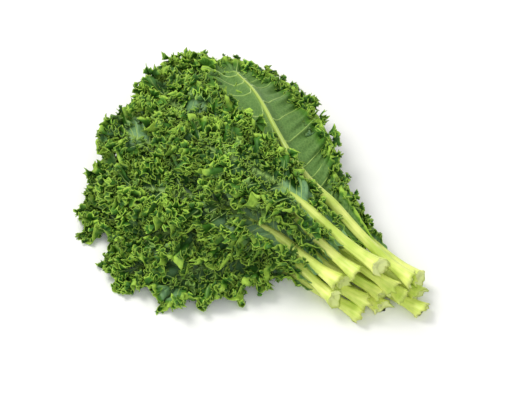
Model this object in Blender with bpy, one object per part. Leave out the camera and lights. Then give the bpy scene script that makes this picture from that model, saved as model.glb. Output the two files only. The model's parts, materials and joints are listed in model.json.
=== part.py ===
"""A bunch of curly kale lying on a flat surface, as picked: sixteen leaves, each a stalk and a blade.

The leaves are laid one after another, from the lowest to the topmost. A height field keeps the top
of everything laid so far, and each new stalk and blade settles on it, so none cuts into another.
The script works in millimetres until a mesh is made, and the objects are in metres.
"""

import math

import bmesh
import bpy
import numpy as np

MM = 0.001

# Stalks and midribs. A stalk is widest at its cut end and runs on under the blade as its midrib.
STALK_RADIUS = 5.3
CUT_END_FLARE = 1.3
FLARE_LENGTH = 38.0
RIB_TIP_RADIUS = 1.3
RIB_SHARE_OF_BLADE = 0.93
STALK_SAG = 0.5
STALK_ROUNDS = 60
BARE_STATION_STEP = 13.0

# Blades. A blade is a plate that drapes over its own midrib and over the pile, like the two slopes
# of a tent over its ridge. It thickens away from the stalk, where its frills take more room.
THIN = 1.8
THICK = 6.0
BLADE_ROWS = 15
BLADE_COLUMNS = 6
BLADE_BASE_SHARE = 0.14
BLADE_TIP_SHARE = 0.55
BLADE_SAG = 1.3
BLADE_ROUNDS = 40
TENT_SLOPE = 0.42
TENT_ROUNDS = 3

# Widest part of a blade and how bluntly it ends, as shares of half a turn of a sine.
SWELL_START = 0.04
SWELL_SPAN = 0.87

# Clearance between neighbours, and the height field that keeps it.
GAP = 0.45
CELL = 2.0
FIELD_LOW = np.array([-280.0, -190.0])
FIELD_HIGH = np.array([260.0, 240.0])
FINE_STEPS = 10
FINE_STALK_STEP = 2.0

# Each row is one leaf, from the lowest to the topmost, in millimetres and degrees: cut end x and y,
# y where it passes the waist of the bunch, tip x and y, heading of the tip, length of bare stalk,
# half width of the blade, and whether the leaf lies on its face with the midrib upwards.
# A heading of 0 points along -X, and a positive one leans to +Y.
WAIST_X = 60.0
LEAVES = (
    (147, -4, -8, -88, -132, -58, 112, 46, False),
    (161, 18, 12, -158, -94, -34, 124, 46, False),
    (196, 42, 30, -170, -14, -8, 157, 45, False),
    (175, 36, 46, -212, 100, 24, 138, 50, False),
    (182, 54, 60, -146, 176, 44, 134, 43, False),
    (148, 7, 2, -34, -124, -70, 100, 41, False),
    (157, 24, 20, -184, -46, -16, 116, 46, False),
    (166, 30, 38, -208, 60, 14, 120, 46, False),
    (174, 65, 69, -86, 148, 44, 104, 33, False),
    (122, -14, -9, -96, -106, -50, 84, 44, False),
    (119, 6, 9, -206, 2, 0, 80, 46, False),
    (144, 36, 32, -208, 122, 32, 96, 48, False),
    (172, 52, 52, -172, 150, 16, 108, 58, True),
    (119, -6, -8, -146, -68, -24, 76, 42, False),
    (131, 10, 12, -196, 62, 18, 82, 42, False),
    (150, 24, 20, -112, 10, -3, 98, 39, False),
)

STALK_COLOUR = (0.56, 0.68, 0.22, 1.0)
BLADE_COLOUR = (0.07, 0.20, 0.03, 1.0)


class Pile:
    """The top of everything laid so far, seen from above on a square grid."""

    def __init__(self):
        size = np.ceil((FIELD_HIGH - FIELD_LOW) / CELL).astype(int)
        self.top = np.full(size, -GAP)

    def cells(self, points):
        index = np.round((points - FIELD_LOW) / CELL).astype(int)
        return tuple(np.moveaxis(np.clip(index, 0, np.array(self.top.shape) - 1), -1, 0))

    def rest(self, points, radii, rounded):
        """Height at which a disc, or a ball if rounded, comes to rest at each point."""
        reach = int(math.ceil(max(radii) / CELL)) + 1
        steps = np.arange(-reach, reach + 1) * CELL
        offsets = np.array([(x, y) for x in steps for y in steps])
        apart = np.hypot(*offsets.T)
        heights = []
        for point, radius in zip(points, radii):
            near = apart <= radius + CELL / 2
            below = self.top[self.cells(point + offsets[near])]
            bulge = np.sqrt(np.maximum(radius**2 - apart[near] ** 2, 0)) if rounded else 0
            heights.append(np.max(below + bulge))
        return np.array(heights) + GAP

    def add(self, points, heights):
        np.maximum.at(self.top, self.cells(points), heights)


def plan_path(cut_end, waist_y, tip, tip_heading):
    """The leaf's line seen from above, as a function of the distance from its cut end.

    It is straight from the cut end to the waist, and bends evenly from there to the tip."""
    x = np.linspace(cut_end[0], tip[0], 240)
    slope = (waist_y - cut_end[1]) / (WAIST_X - cut_end[0])
    tip_slope = -math.tan(math.radians(tip_heading))
    reach = tip[0] - WAIST_X
    t = np.clip((x - WAIST_X) / reach, 0, 1)
    bend = (
        (2 * t**3 - 3 * t**2 + 1) * waist_y
        + (t**3 - 2 * t**2 + t) * reach * slope
        + (3 * t**2 - 2 * t**3) * tip[1]
        + (t**3 - t**2) * reach * tip_slope
    )
    line = np.column_stack([x, np.where(x > WAIST_X, waist_y + (x - WAIST_X) * slope, bend)])
    steps = np.linalg.norm(np.diff(line, axis=0), axis=1)
    travelled = np.concatenate([[0], np.cumsum(steps)])

    def at(distance):
        return np.stack([np.interp(distance, travelled, line[:, k]) for k in (0, 1)], axis=-1)

    return at, travelled[-1]


def across(at, distance):
    """Unit vector to the side of the path at each distance, seen from above."""
    ahead = at(distance + 1.0) - at(distance - 1.0)
    ahead /= np.linalg.norm(ahead, axis=-1, keepdims=True)
    return np.stack([-ahead[..., 1], ahead[..., 0]], axis=-1)


def stalk_radius(distance, bare, length):
    """Flared at the cut end, even along the bare stalk, then tapering to the end of the rib."""
    flare = 1 + (CUT_END_FLARE - 1) * np.clip(1 - distance / FLARE_LENGTH, 0, 1) ** 1.5
    along = np.clip((distance - bare) / (length - bare), 0, 1)
    return RIB_TIP_RADIUS + (STALK_RADIUS * flare - RIB_TIP_RADIUS) * (1 - along) ** 1.25


def thickness(along):
    """Thickness of a blade along its midrib."""
    share = np.clip(along * 2, 0, 1)
    return THIN + (THICK - THIN) * share**2 * (3 - 2 * share)


def width_share(along):
    """Half width of a blade along its midrib, narrow at the base and blunt at the tip."""
    swell = np.sin(math.pi * (SWELL_START + SWELL_SPAN * along**0.9)) ** 0.75
    return np.maximum(swell, BLADE_BASE_SHARE + (BLADE_TIP_SHARE - BLADE_BASE_SHARE) * along)


def settle(lowest, sag, rounds):
    """Lets a stiff line or sheet down until it lies on the lowest heights allowed."""
    height = lowest.copy()
    for _ in range(rounds):
        padded = np.pad(height, 1, mode="edge")
        if height.ndim == 1:
            eased = (padded[:-2] + padded[2:]) / 2
        else:
            eased = (padded[:-2, 1:-1] + padded[2:, 1:-1] + padded[1:-1, :-2] + padded[1:-1, 2:]) / 4
        height = np.maximum(lowest, eased - sag)
    return height


def highest_near(fine, stops):
    """Each coarse value is the highest fine value within one coarse step of it."""
    values = []
    for k in range(len(stops)):
        low, high = stops[max(k - 1, 0)], stops[min(k + 1, len(stops) - 1)]
        values.append(fine[low : high + 1].max(axis=0))
    return np.array(values)


def lay_stalk(pile, at, stations, radii):
    """Height of the stalk's centre at its stations, resting on the pile."""
    counts = np.maximum(np.round(np.diff(stations) / FINE_STALK_STEP), 1).astype(int)
    stops = np.concatenate([[0], np.cumsum(counts)])
    fine = np.interp(np.arange(stops[-1] + 1), stops, stations)
    lowest = pile.rest(at(fine), np.interp(fine, stations, radii), rounded=True)
    return settle(highest_near(lowest, stops), STALK_SAG, STALK_ROUNDS)


def lay_blade(pile, plan, half_thick, tent):
    """Height of the blade's middle surface at its vertices, clear of the pile and of its rib."""
    fine = subdivided(plan)
    below = pile.rest(fine.reshape(-1, 2), np.full(fine[..., 0].size, CELL), rounded=False)
    below = below.reshape(fine.shape[:2])
    rows, columns = (np.arange(n) * FINE_STEPS for n in plan.shape[:2])
    by_row = highest_near(below, rows)
    clear = highest_near(by_row.T, columns).T
    lowest = np.maximum(clear, tent) + half_thick
    return settle(lowest, BLADE_SAG, BLADE_ROUNDS)


def subdivided(grid):
    """The grid with FINE_STEPS steps for each of its own, read straight between its points."""
    for axis in (0, 1):
        n = grid.shape[axis]
        where = np.linspace(0, n - 1, (n - 1) * FINE_STEPS + 1)
        low = np.minimum(where.astype(int), n - 2)
        share = (where - low).reshape([-1 if k == axis else 1 for k in range(grid.ndim)])
        grid = np.take(grid, low, axis) * (1 - share) + np.take(grid, low + 1, axis) * share
    return grid


def twist_allowance(height):
    """How far a cell's two triangles may stand above the even surface between its corners."""
    twist = np.abs(height[:-1, :-1] + height[1:, 1:] - height[:-1, 1:] - height[1:, :-1]) / 4
    cells = np.pad(twist, ((0, 1), (0, 1)), mode="edge")
    index = [np.minimum(np.arange((n - 1) * FINE_STEPS + 1) // FINE_STEPS, n - 2) for n in height.shape]
    return cells[np.ix_(*index)]


def add_stalk_to_pile(pile, at, stations, radii, centres):
    for distance in np.arange(0, stations[-1], FINE_STALK_STEP / 2):
        radius = np.interp(distance, stations, radii)
        side = np.linspace(-radius, radius, 15)
        points = at(distance) + side[:, None] * across(at, np.array(distance))
        top = np.interp(distance, stations, centres) + np.sqrt(np.maximum(radius**2 - side**2, 0))
        pile.add(points, top)


def add_blade_to_pile(pile, plan, middle, half_thick):
    top = subdivided(middle + half_thick) + twist_allowance(middle)
    pile.add(subdivided(plan), top)


def rib_clearance(distance, radii, centres):
    """Height from a rib's centre line to the underside of a plate that slopes away from it."""
    pitch = np.hypot(1, np.gradient(centres, distance))
    return (radii * pitch + GAP) * math.hypot(1, TENT_SLOPE)


def lay_leaf(pile, row):
    """Lays one leaf on the pile and returns its stalk line and its blade grid, in millimetres."""
    cut_x, cut_y, waist_y, tip_x, tip_y, tip_heading, bare, half_width, turned = row
    at, length = plan_path((cut_x, cut_y), waist_y, (tip_x, tip_y), tip_heading)
    rows = np.linspace(bare, length, BLADE_ROWS + 1)
    before = np.linspace(0, bare, int(bare / BARE_STATION_STEP) + 1)[:-1]
    stations = np.concatenate([before, rows[rows <= bare + RIB_SHARE_OF_BLADE * (length - bare)]])
    radii = stalk_radius(stations, bare, length)

    shares = width_share(np.linspace(0, 1, BLADE_ROWS + 1))
    side = np.linspace(-1, 1, BLADE_COLUMNS + 1)
    reach = half_width * shares[:, None] * side[None, :]
    plan = at(rows)[:, None, :] + reach[..., None] * across(at, rows)[:, None, :]

    rib_radii = stalk_radius(rows, bare, length)
    half_thick = thickness(np.linspace(0, 1, BLADE_ROWS + 1))[:, None] / 2
    centre = BLADE_COLUMNS // 2
    if turned:
        middle = lay_blade(pile, plan, half_thick, np.full(plan.shape[:2], -GAP))
        ridge = middle[:, centre - 1 : centre + 2].max(axis=1) + half_thick[:, 0]
        rib = ridge + rib_clearance(rows, rib_radii, ridge)
    else:
        all_radii = np.concatenate([radii[: len(before)], rib_radii])
        rib = lay_stalk(pile, at, np.concatenate([before, rows]), all_radii)[len(before) :]
        for _ in range(TENT_ROUNDS):
            clearance = rib_clearance(rows, rib_radii, rib)
            tent = (rib + clearance)[:, None] - TENT_SLOPE * np.abs(reach)
            middle = lay_blade(pile, plan, half_thick, tent)
            rib = middle[:, centre] - half_thick[:, 0] - clearance
    bare_rest = lay_stalk(pile, at, np.append(before, bare), radii[: len(before) + 1])
    lowest = np.append(bare_rest[:-1], rib[0])
    bare_centres = settle(lowest, STALK_SAG, STALK_ROUNDS)[:-1]
    centres = np.concatenate([bare_centres, rib[: len(stations) - len(before)]])

    add_stalk_to_pile(pile, at, stations, radii, centres)
    add_blade_to_pile(pile, plan, middle, half_thick)
    line = np.column_stack([at(stations), centres])
    lower, upper = (np.dstack([plan, middle + side * half_thick]) for side in (-1, 1))
    return line, radii, (lower, upper)


def material(name, colour, roughness):
    made = bpy.data.materials.new(name)
    made.use_nodes = True
    shader = made.node_tree.nodes["Principled BSDF"]
    shader.inputs["Base Color"].default_value = colour
    shader.inputs["Roughness"].default_value = roughness
    shader.inputs["Metallic"].default_value = 0.0
    return made


def stalk_object(name, line, radii, finish):
    """A tapering tube with closed ends along the stalk's line."""
    curve = bpy.data.curves.new(name, "CURVE")
    curve.dimensions = "3D"
    curve.bevel_depth = STALK_RADIUS * MM
    curve.bevel_resolution = 2
    curve.use_fill_caps = True
    spline = curve.splines.new("POLY")
    spline.points.add(len(line) - 1)
    for point, place, radius in zip(spline.points, line * MM, radii):
        point.co = (*place, 1)
        point.radius = radius / STALK_RADIUS
    curve.materials.append(finish)
    return bpy.data.objects.new(name, curve)


def blade_object(name, faces, finish):
    """A draped plate: a grid laid on the blade's lower face, then extruded to its upper face."""
    rows, columns = (n - 1 for n in faces[0].shape[:2])
    mesh = bpy.data.meshes.new(name)
    shape = bmesh.new()
    bmesh.ops.create_grid(shape, x_segments=rows, y_segments=columns, size=1)
    raised = bmesh.ops.extrude_face_region(shape, geom=shape.faces[:])["geom"]
    upper = {part for part in raised if isinstance(part, bmesh.types.BMVert)}
    for vertex in shape.verts:
        i = round((vertex.co.x + 1) / 2 * rows)
        j = round((vertex.co.y + 1) / 2 * columns)
        vertex.co = faces[vertex in upper][i, j] * MM
    bmesh.ops.triangulate(shape, faces=shape.faces[:])
    bmesh.ops.recalc_face_normals(shape, faces=shape.faces[:])
    shape.to_mesh(mesh)
    shape.free()
    mesh.shade_smooth()
    mesh.materials.append(finish)
    return bpy.data.objects.new(name, mesh)


def middle_of_footprint(laid):
    """Centre of the box around the laid leaves, seen from above, in metres."""
    points = []
    for line, radii, (lower, _) in laid:
        points.append(lower.reshape(-1, 3)[:, :2])
        ahead = np.gradient(line[:, :2], axis=0)
        ahead /= np.linalg.norm(ahead, axis=1, keepdims=True)
        sideways = np.stack([-ahead[:, 1], ahead[:, 0]], axis=1) * radii[:, None]
        points += [line[:, :2] + sideways, line[:, :2] - sideways]
    points = np.concatenate(points)
    return (points.min(axis=0) + points.max(axis=0)) / 2 * MM


def main():
    for old in list(bpy.data.objects):
        bpy.data.objects.remove(old)
    bunch = bpy.data.collections.new("kale_bunch")
    bpy.context.scene.collection.children.link(bunch)
    stalk_finish = material("kale_stalk", STALK_COLOUR, 0.45)
    blade_finish = material("kale_blade", BLADE_COLOUR, 0.55)

    pile = Pile()
    laid = [lay_leaf(pile, row) for row in LEAVES]
    centre = middle_of_footprint(laid)
    for number, (line, radii, faces) in enumerate(laid, start=1):
        stalk = stalk_object(f"leaf_{number:02d}_stalk", line, radii, stalk_finish)
        blade = blade_object(f"leaf_{number:02d}_blade", faces, blade_finish)
        for obj in (stalk, blade):
            obj.location = (-centre[0], -centre[1], 0)
            bunch.objects.link(obj)


main()
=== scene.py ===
# %% [markdown]
# # A bunch of curly kale
#
# The bunch is a heap of loose leaves, each with a thick pale stalk and a thin blade whose margin has
# grown far longer than its middle, so it buckles into folds, the folds into curls, and the curls into
# fine frills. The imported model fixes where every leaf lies. This notebook measures each leaf there,
# grows the frilled blade and the ribbed stalk on those measures, and gives them their finishes.

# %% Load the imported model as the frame
import json
import math

import bmesh
import bpy
import numpy as np
from mathutils.bvhtree import BVHTree
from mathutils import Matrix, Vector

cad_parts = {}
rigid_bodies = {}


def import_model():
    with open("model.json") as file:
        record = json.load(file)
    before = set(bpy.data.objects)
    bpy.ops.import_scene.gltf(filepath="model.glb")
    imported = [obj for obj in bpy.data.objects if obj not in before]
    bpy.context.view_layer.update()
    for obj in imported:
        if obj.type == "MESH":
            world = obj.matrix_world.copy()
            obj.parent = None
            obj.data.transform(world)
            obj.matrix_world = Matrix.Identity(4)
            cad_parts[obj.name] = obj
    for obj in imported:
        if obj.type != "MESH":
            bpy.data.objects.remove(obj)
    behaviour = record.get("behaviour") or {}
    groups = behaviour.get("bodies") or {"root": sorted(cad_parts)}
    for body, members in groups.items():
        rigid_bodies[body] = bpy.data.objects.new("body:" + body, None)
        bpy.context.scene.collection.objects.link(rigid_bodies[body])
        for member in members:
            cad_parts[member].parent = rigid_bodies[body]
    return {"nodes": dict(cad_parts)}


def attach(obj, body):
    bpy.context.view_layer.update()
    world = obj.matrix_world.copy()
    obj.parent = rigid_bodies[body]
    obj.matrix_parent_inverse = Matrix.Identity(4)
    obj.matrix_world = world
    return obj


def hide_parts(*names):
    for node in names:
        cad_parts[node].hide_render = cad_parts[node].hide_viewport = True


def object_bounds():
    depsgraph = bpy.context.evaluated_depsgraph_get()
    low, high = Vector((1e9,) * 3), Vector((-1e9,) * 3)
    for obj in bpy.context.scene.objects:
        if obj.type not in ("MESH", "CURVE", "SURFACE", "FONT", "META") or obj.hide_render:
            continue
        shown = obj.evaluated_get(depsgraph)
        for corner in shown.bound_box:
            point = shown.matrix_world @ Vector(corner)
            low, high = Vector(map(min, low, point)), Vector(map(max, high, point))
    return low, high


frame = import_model()
cad_low, cad_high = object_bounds()
MM = 0.001
LEAVES = sorted(name[:7] for name in frame["nodes"] if name.endswith("_blade"))
TURNED = "leaf_13"
print(len(LEAVES), "leaves; box in mm:", [round(v / MM) for v in (*cad_low, *cad_high)])

# %% [markdown]
# ## Camera, light and floor
#
# The bunch lies on a white table in soft light from all round. A bright lamp behind and to the left
# catches the frills and leaves a faint shadow towards the viewer, and a broad weak one in front opens
# the dark side. A long lens from well above keeps the near and far leaves much the same size. The
# camera comes first, because the fineness of everything after it is judged by what it can see.

# %% Place the camera
AZIMUTH, ELEVATION = math.radians(40), math.radians(53)
FIELD = 0.556
LENS = 200.0
SENSOR = 36.0
AIM = (-0.0216, 0.0215, 0.0)

away = np.array([
    math.sin(AZIMUTH) * math.cos(ELEVATION),
    -math.cos(AZIMUTH) * math.cos(ELEVATION),
    math.sin(ELEVATION),
])
distance = FIELD * LENS / SENSOR
camera = bpy.data.objects.new("camera", bpy.data.cameras.new("camera"))
camera.data.lens = LENS
camera.data.sensor_width = SENSOR
camera.location = np.array(AIM) + away * distance
camera.rotation_euler = (math.pi / 2 - ELEVATION, 0, AZIMUTH)
bpy.context.scene.collection.objects.link(camera)
bpy.context.scene.camera = camera
print("camera", [round(v, 3) for v in camera.location])


# %% A colour from its hex value, and one node with its settings and links
def linear(code):
    """An sRGB hex colour as the linear values that shaders take."""
    parts = [int(code[k : k + 2], 16) / 255 for k in (1, 3, 5)]
    return (*(p / 12.92 if p <= 0.04045 else ((p + 0.055) / 1.055) ** 2.4 for p in parts), 1.0)


def add(tree, kind, settings=None, **sockets):
    """Adds a node. A socket's keyword is its name or i0, i1..., and its value is a number, a colour
    or another node's output."""
    node = tree.nodes.new(kind)
    for name, value in (settings or {}).items():
        setattr(node, name, value)
    for name, value in sockets.items():
        key = int(name[1:]) if name[0] == "i" and name[1:].isdigit() else name.replace("_", " ")
        socket = node.inputs[key]
        if isinstance(value, bpy.types.NodeSocket):
            tree.links.new(value, socket)
        else:
            socket.default_value = value
    return node


print("mid grey as a shader takes it:", round(linear("#808080")[0], 3))


# %% Light the table
def lamp(name, place, size, watts, colour):
    light = bpy.data.lights.new(name, "AREA")
    light.size = size
    light.energy = watts
    light.color = linear(colour)[:3]
    holder = bpy.data.objects.new(name, light)
    holder.location = place
    toward = -np.array(place) / np.linalg.norm(place)
    holder.rotation_euler = (math.acos(-toward[2]), 0, math.atan2(toward[0], -toward[1]) + math.pi)
    bpy.context.scene.collection.objects.link(holder)
    return holder


SKY = 0.66
lamp("key_lamp", (-0.9, -0.1, 1.5), 0.7, 18.0, "#fffdf6")
lamp("fill_lamp", (0.9, -0.9, 1.3), 1.2, 7.0, "#f8fbff")

world = bpy.data.worlds.new("studio")
world.use_nodes = True
background = world.node_tree.nodes["Background"]
background.inputs["Color"].default_value = linear("#ffffff")
background.inputs["Strength"].default_value = SKY
bpy.context.scene.world = world
bpy.context.scene.view_settings.view_transform = "Standard"
print("lamps:", [light.name for light in bpy.data.lights], "and sky at", SKY)

# %% Lay the floor
FLOOR = 6.0
# Matt white board: it gives the eye hardly any gloss, only the bunch's soft shadow.
paper = bpy.data.materials.new("matt_white_board")
paper.use_nodes = True
paper.node_tree.nodes["Principled BSDF"].inputs["Base Color"].default_value = linear("#f6f6f6")
paper.node_tree.nodes["Principled BSDF"].inputs["Roughness"].default_value = 0.9
floor_mesh = bpy.data.meshes.new("floor")
corners = [(-FLOOR, -FLOOR, 0), (FLOOR, -FLOOR, 0), (FLOOR, FLOOR, 0), (-FLOOR, FLOOR, 0)]
floor_mesh.from_pydata(corners, [], [(0, 1, 2, 3)])
floor_mesh.materials.append(paper)
floor = bpy.data.objects.new("floor", floor_mesh)
bpy.context.scene.collection.objects.link(floor)
print("floor", 2 * FLOOR, "m square")

# %% [markdown]
# ## Measuring a leaf
#
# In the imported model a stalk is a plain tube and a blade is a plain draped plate. Two measures are
# wanted: the stalk's centre line with its thickness, and the blade's outline with its height. Each
# leaf runs steadily towards -X, so a slice across X gives one point of the line. The plate is read by
# dropping plumb lines on it. Both come from the model itself, so every leaf stays where it was laid.


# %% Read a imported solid
def solid(node):
    mesh = frame["nodes"][node].data
    mesh.calc_loop_triangles()
    points = np.empty(len(mesh.vertices) * 3, np.float32)
    mesh.vertices.foreach_get("co", points)
    triangles = np.empty(len(mesh.loop_triangles) * 3, np.int32)
    mesh.loop_triangles.foreach_get("vertices", triangles)
    return points.reshape(-1, 3).astype(float) / MM, triangles.reshape(-1, 3)


print("leaf_01_blade is packed as", len(solid("leaf_01_blade")[1]), "triangles")


# %% Smooth and even out a line
def eased(values, width):
    """The values smoothed along their first axis, with both ends held."""
    reach = int(3 * width)
    bell = np.exp(-0.5 * (np.arange(-reach, reach + 1) / width) ** 2)
    bell /= bell.sum()
    first, last = values[:1], values[-1:]
    before = 2 * first - values[reach:0:-1]
    after = 2 * last - values[-2 : -reach - 2 : -1]
    padded = np.concatenate([before, values, after])
    return np.stack([np.convolve(padded[:, k], bell, "valid") for k in range(values.shape[1])], 1)


def resampled(line, count):
    """The line with evenly spaced points, and the distance of each from its start."""
    steps = np.linalg.norm(np.diff(line[:, :3], axis=0), axis=1)
    travelled = np.concatenate([[0], np.cumsum(steps)])
    places = np.linspace(0, travelled[-1], count)
    return np.stack([np.interp(places, travelled, c) for c in line.T], 1), places


print("a 10 mm line in three points:", resampled(np.array([[0.0, 0, 0], [10, 0, 0]]), 3)[1])


# %% Measure a stalk
SLICE = 2.0
END_MARGIN = 2.5
LINE_SMOOTHING = 4.0


def stalk_line(leaf):
    """Centre line of a stalk from its cut end to the end of its rib, and its radius there."""
    points, triangles = solid(leaf + "_stalk")
    edges = points[triangles[:, [0, 1, 1, 2, 2, 0]].reshape(-1, 2)]
    high, low = points[:, 0].max(), points[:, 0].min()
    rows = []
    for x in np.arange(high - END_MARGIN, low + END_MARGIN, -SLICE):
        a, b = edges[:, 0], edges[:, 1]
        crossing = (a[:, 0] - x) * (b[:, 0] - x) < 0
        a, b = a[crossing], b[crossing]
        cut = a + (b - a) * ((x - a[:, 0]) / (b[:, 0] - a[:, 0]))[:, None]
        middle = (cut.min(0) + cut.max(0)) / 2
        rows.append([x, middle[1], middle[2], (cut[:, 2].max() - cut[:, 2].min()) / 2])
    rows = np.array(rows)
    for end, beyond in ((0, high - rows[0, 0]), (-1, rows[-1, 0] - low)):
        near = rows[end] - rows[1 if end == 0 else -2]
        extra = rows[end] + near / np.linalg.norm(near[:3]) * max(beyond, 0.1)
        rows = np.concatenate([[extra], rows] if end == 0 else [rows, [extra]])
    pitch = np.gradient(rows[:, 2]) / np.hypot(np.gradient(rows[:, 0]), np.gradient(rows[:, 1]))
    rows[:, 3] /= np.hypot(1, pitch)
    return eased(rows, LINE_SMOOTHING)


line = stalk_line("leaf_01")
print("leaf_01 stalk: %d points, radius %.1f to %.1f mm" % (len(line), line[:, 3].max(), line[:, 3].min()))


# %% Look through a blade, and above it
def plate(leaf):
    """A function that gives the heights of a blade's two faces at a place, or None beside it."""
    points, triangles = solid(leaf + "_blade")
    tree = BVHTree.FromPolygons(points.tolist(), triangles.tolist())

    def heights(x, y):
        upper = tree.ray_cast((x, y, 500.0), (0, 0, -1))[0]
        lower = tree.ray_cast((x, y, -500.0), (0, 0, 1))[0]
        return None if upper is None or lower is None else (lower.z, upper.z)

    return heights


def cover(leaf):
    """A tree of every blade but this one, to find what lies above a place."""
    corners, faces = [], []
    for other in LEAVES:
        if other != leaf:
            points, triangles = solid(other + "_blade")
            faces += (triangles + len(corners)).tolist()
            corners += points.tolist()
    return BVHTree.FromPolygons(corners, faces)


print("leaf_01 blade at its middle:", plate("leaf_01")(*solid("leaf_01_blade")[0].mean(0)[:2]))

# %% Measure a blade
TIP_REACH = 60.0
ROW_STEP = 2.0
SIDE_STEP = 1.0
WIDEST = 84.0
WING_ROWS = 28
WING_LENGTH = 72.0
WING_REACH = 18.0


def blade_outline(line, heights):
    """Spine of the blade from its base to its tip, and how far it reaches to each side of it."""
    inside = [heights(*row[:2]) is not None for row in line]
    spine = line[max(inside.index(True) - WING_ROWS, 0) :]
    ahead = spine[-1] - spine[-6]
    ahead = ahead / np.linalg.norm(ahead[:2])
    tail = [spine[-1]]
    for step in np.arange(SIDE_STEP, TIP_REACH, SIDE_STEP):
        place = spine[-1] + ahead * step
        if heights(*place[:2]) is None:
            break
        tail.append(place)
    spine = np.concatenate([spine, tail[1:]]) if len(tail) > 1 else spine
    length = np.linalg.norm(np.diff(spine[:, :2], axis=0), axis=1).sum()
    spine, places = resampled(spine, int(length / ROW_STEP) + 1)
    forward = np.gradient(spine[:, :2], axis=0)
    forward /= np.linalg.norm(forward, axis=1, keepdims=True)
    sideways = np.stack([-forward[:, 1], forward[:, 0]], 1)
    reaches = []
    for side in (-1, 1):
        reach = []
        for place, across in zip(spine[:, :2], sideways):
            far = 0.0
            while far < WIDEST and heights(*(place + across * side * (far + SIDE_STEP))) is not None:
                far += SIDE_STEP
            reach.append(far)
        wing = WING_REACH * np.clip((places + 4) / WING_LENGTH, 0, 1) ** 0.7
        reaches.append(eased(np.maximum(reach, wing)[:, None], 3.0)[:, 0])
    return spine, places, sideways, reaches


_, places, _, reaches = blade_outline(line, plate("leaf_01"))
print("leaf_01 blade: %.0f mm long, its halves %.0f and %.0f mm" % (places[-1], *(r.max() for r in reaches)))

# %% [markdown]
# ## The flat pattern of a blade
#
# A leaf's side veins leave the midrib slanting forward and run out to the margin, and near the tip
# they fan round it. The blade is meshed along those veins: each line starts on the midrib and ends on
# the margin, so folds that follow the margin's length run as they grow. Every point carries how far
# along the margin it is, how far out towards it, and how much room the leaf gives its folds there.

# %% Lay out the lines of a blade
AROUND = 220
OUTWARD = 20
LEAN = 0.8
TIP_FAN = 26.0
MARGIN_GROWTH = 3.0
OUTWARD_CROWDING = 1.35


def rounded_margin(spine, sideways, reach, side):
    """One side of the outline, from the base round to the middle of the tip."""
    edge = spine[:, :2] + sideways * (side * (reach + MARGIN_GROWTH))[:, None]
    ahead = spine[-1, :2] - spine[-2, :2]
    tip = spine[-1, :2] + ahead / np.linalg.norm(ahead) * (MARGIN_GROWTH + 3)
    blunt = np.linspace(edge[-1], tip, 12)[1:]
    row = np.concatenate([np.arange(len(spine)), np.full(len(blunt), len(spine) - 1.0)])
    return eased(resampled(np.column_stack([np.concatenate([edge, blunt]), row * 0, row]), 160)[0], 3.0)


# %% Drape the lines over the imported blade
COARSE_AROUND, COARSE_OUTWARD = 48, 9
PULLS = (1.0, 0.96, 0.9, 0.8, 0.65, 0.5, 0.3)
WITHIN_PLATE = 0.35
CLEAR = 14.0


def spread(values, rows, columns):
    """Values known at a few rows and columns, spread smoothly over the whole grid."""
    wide = np.stack([np.interp(np.arange(OUTWARD + 1), columns, row) for row in values])
    return eased(np.stack([np.interp(np.arange(AROUND + 1), rows, column) for column in wide.T], 1), 4.0)


def draped(origin, flat, heights, above):
    """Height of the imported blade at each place, and how free the space above it is, from 0 to 1. A
    place beside the plate takes the height of the nearest place on its line that is over it."""
    rows = np.linspace(0, AROUND, COARSE_AROUND).round().astype(int)
    columns = np.linspace(0, OUTWARD, COARSE_OUTWARD).round().astype(int)
    coarse = np.zeros((len(rows), len(columns)))
    clear = np.ones((len(rows), len(columns)))
    for a, i in enumerate(rows):
        for b, j in enumerate(columns):
            for pull in PULLS:
                found = heights(*(origin[i, :2] + (flat[i, j] - origin[i, :2]) * pull))
                if found:
                    break
            coarse[a, b] = (found[0] + (found[1] - found[0]) * WITHIN_PLATE) if found else origin[i, 2]
            hit = above.ray_cast((*flat[i, j], coarse[a, b] + 1), (0, 0, 1))[3]
            clear[a, b] = 1.0 if hit is None else min(hit / CLEAR, 1.0)
    return spread(coarse, rows, columns), spread(clear, rows, columns).clip(0, 1)


print("plumb lines per half blade:", COARSE_AROUND * COARSE_OUTWARD)

# %% Measure one half of a blade
CUP = 7.0
RIB_HOLD = 7.0
FULL_ROOM = 38.0


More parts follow.
